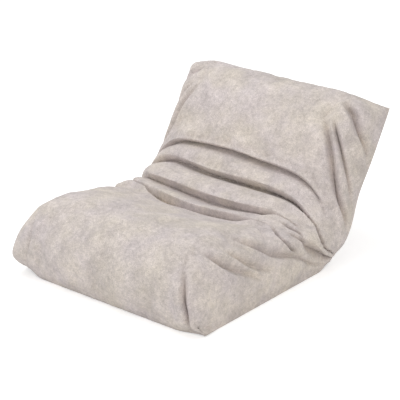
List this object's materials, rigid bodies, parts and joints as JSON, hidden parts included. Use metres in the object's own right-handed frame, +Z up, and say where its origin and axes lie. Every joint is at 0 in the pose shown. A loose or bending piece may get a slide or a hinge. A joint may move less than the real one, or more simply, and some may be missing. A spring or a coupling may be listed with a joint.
{
  "type": "bean bag chair",
  "caption": "Floor lounger bean bag with a deep seat and a leaning backrest: removable plush cover over two bead-filled bags, all closed by zips.",
  "frame": {"origin": "on the floor, at the middle of the whole footprint seen from above", "axes": "+Z up; the seat faces -Y and the backrest leans towards +Y; +X is the viewer's right when looking along +Y"},
  "size_m": [0.9, 1.183, 0.591],
  "materials": {
    "cover_plush": "short brushed plush, warm pale greige",
    "floor_cloth": "plain woven polyester, hard wearing",
    "liner_cloth": "thin woven polyester",
    "foam_beads": "expanded polystyrene beads",
    "cover_zip_tape": "woven polyester tape, dyed to match",
    "liner_zip_tape": "woven polyester tape",
    "cover_zip_teeth": "moulded acetal teeth",
    "liner_zip_teeth": "moulded acetal teeth",
    "zip_stop_metal": "plain",
    "cover_slider_metal": "die-cast zinc, satin nickel look",
    "liner_slider_metal": "die-cast zinc, white enamel"
  },
  "bodies": {
    "chair": {"face_panel": "cover_plush", "left_side_panel": "cover_plush", "right_side_panel": "cover_plush", "rear_panel": "cover_plush", "base_panel": "floor_cloth", "cover_zip_tape_left": "cover_zip_tape", "cover_zip_tape_right": "cover_zip_tape", "cover_zip_chain_left": "cover_zip_teeth", "cover_zip_chain_right": "cover_zip_teeth", "cover_zip_stops": "zip_stop_metal", "seat_liner": "liner_cloth", "seat_beads": "foam_beads", "seat_liner_zip_tape_left": "liner_zip_tape", "seat_liner_zip_tape_right": "liner_zip_tape", "seat_liner_zip_chain_left": "liner_zip_teeth", "seat_liner_zip_chain_right": "liner_zip_teeth", "seat_liner_zip_stops": "zip_stop_metal", "back_liner": "liner_cloth", "back_beads": "foam_beads", "back_liner_zip_tape_left": "liner_zip_tape", "back_liner_zip_tape_right": "liner_zip_tape", "back_liner_zip_chain_left": "liner_zip_teeth", "back_liner_zip_chain_right": "liner_zip_teeth", "back_liner_zip_stops": "zip_stop_metal"},
    "cover_zip_slider": {"cover_zip_slider": "cover_slider_metal"},
    "cover_zip_pull": {"cover_zip_pull": "cover_slider_metal"},
    "seat_liner_zip_slider": {"seat_liner_zip_slider": "liner_slider_metal"},
    "back_liner_zip_slider": {"back_liner_zip_slider": "liner_slider_metal"}
  },
  "joints": [
    {"name": "cover_zip_slide", "type": "slide", "parent": "chair", "child": "cover_zip_slider", "axis": [0, 0.5358, 0.8443], "range_m": [0, 0.407]},
    {"name": "cover_zip_pull_swing", "type": "hinge", "parent": "cover_zip_slider", "child": "cover_zip_pull", "pos_m": [0, 0.28711, 0.06735], "axis": [1, 0, 0], "range_deg": [-32, 147]},
    {"name": "seat_liner_zip_slide", "type": "slide", "parent": "chair", "child": "seat_liner_zip_slider", "axis": [1, 0, 0], "range_m": [0, 0.347]},
    {"name": "back_liner_zip_slide", "type": "slide", "parent": "chair", "child": "back_liner_zip_slider", "axis": [1, 0, 0], "range_m": [0, 0.347]}
  ]
}
